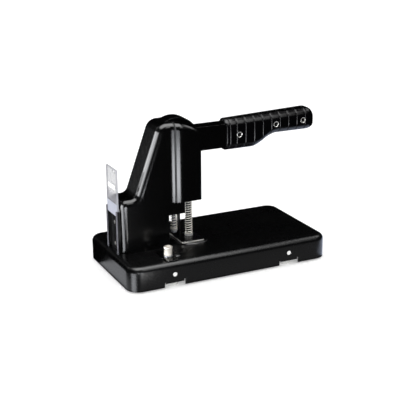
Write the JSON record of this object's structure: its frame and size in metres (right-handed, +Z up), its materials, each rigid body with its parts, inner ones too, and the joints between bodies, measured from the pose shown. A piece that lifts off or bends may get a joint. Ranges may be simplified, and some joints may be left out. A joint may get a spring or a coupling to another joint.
{
  "type": "desk hole punch",
  "caption": "Desk hole punch with a long gripped lever over a geared ram, hollow cutter, sprung presser foot, paper gauge and flat pressed base.",
  "frame": {"origin": "on the plane that the feet rest on, under the middle of the machine's whole length and width", "axes": "+Z up, +X along the lever towards the grip, -Y the side with the paper gauge"},
  "size_m": [0.2932, 0.15, 0.198],
  "materials": {
    "black_powder_coat": "fine satin powder coat",
    "black_gloss_moulding": "smooth gloss",
    "black_paint_satin": "satin enamel",
    "dark_steel": "oiled, machined",
    "zinc_steel": "zinc plated",
    "chrome": "polished plate",
    "nickel": "satin nickel plate",
    "bronze": "turned bronze",
    "brass": "turned brass",
    "black_grip_plastic": "satin moulding",
    "pad_plastic": "hard nylon",
    "white_nylon": "satin nylon",
    "foot_rubber": "translucent soft rubber",
    "clear_plastic": "frosted clear plastic"
  },
  "bodies": {
    "stand": {"base_bolts": "zinc_steel", "base_nuts": "zinc_steel", "base_pan": "black_powder_coat", "base_stiffener": "zinc_steel", "casing_screws": "zinc_steel", "channel_rivets": "brass", "chip_channel": "black_paint_satin", "cutting_pad": "pad_plastic", "foot_nuts": "zinc_steel", "foot_screws": "zinc_steel", "frame_plate_far": "dark_steel", "frame_plate_near": "dark_steel", "frame_spacers": "zinc_steel", "guide_block": "black_paint_satin", "pad_seat": "zinc_steel", "ram_guide": "dark_steel", "rubber_feet": "foot_rubber", "shaft_bushes": "bronze", "side_plugs": "white_nylon", "side_screws": "zinc_steel", "tie_bolts": "zinc_steel", "tie_nuts": "zinc_steel", "tower_casing": "black_gloss_moulding"},
    "lever": {"lever_channel": "black_paint_satin", "drive_pinion": "dark_steel", "pinion_key": "dark_steel", "pivot_shaft": "dark_steel", "shaft_clips": "dark_steel", "grip_near": "black_grip_plastic", "grip_far": "black_grip_plastic", "grip_screws": "chrome", "grip_nuts": "zinc_steel"},
    "ram": {"ram_rack": "dark_steel", "punch_tube": "chrome", "punch_spring": "chrome", "buffer_rod": "zinc_steel", "buffer_nut": "zinc_steel", "buffer_washer": "chrome", "buffer_spring": "chrome"},
    "presser_foot": {"foot_plate": "black_paint_satin", "foot_post": "black_paint_satin", "foot_collar": "chrome"},
    "gauge": {"gauge_plate": "black_paint_satin", "gauge_stud": "zinc_steel", "gauge_washer": "zinc_steel"},
    "gauge_knob": {"thumb_knob": "nickel"},
    "slide": {"clear_slide": "clear_plastic"}
  },
  "joints": [
    {"name": "lever_hinge", "type": "hinge", "parent": "stand", "child": "lever", "pos_m": [-0.0537, 0, 0.168], "axis": [0, -1, 0], "range_deg": [0, 72]},
    {"name": "ram_slide", "type": "slide", "parent": "stand", "child": "ram", "axis": [0, 0, 1], "range_m": [0, 0.01509], "deforming": ["buffer_spring"]},
    {"name": "foot_slide", "type": "slide", "parent": "ram", "child": "presser_foot", "axis": [0, 0, 1], "range_m": [0, 0.007], "stiffness_N_per_m": 300, "springref_m": -0.004, "deforming": ["punch_spring"]},
    {"name": "gauge_slide", "type": "slide", "parent": "stand", "child": "gauge", "axis": [1, 0, 0], "range_m": [-0.006, 0.014]},
    {"name": "knob_turn", "type": "hinge", "parent": "gauge", "child": "gauge_knob", "pos_m": [-0.0877, -0.054, 0.038], "axis": [0, 0, 1], "range_deg": [0, 360]},
    {"name": "clear_slide_travel", "type": "slide", "parent": "stand", "child": "slide", "axis": [0, 0, 1], "range_m": [-0.047, 0.01]}
  ],
  "couplings": [
    {"joint": "ram_slide", "follows": "lever_hinge", "m_per_rad": 0.012}
  ]
}
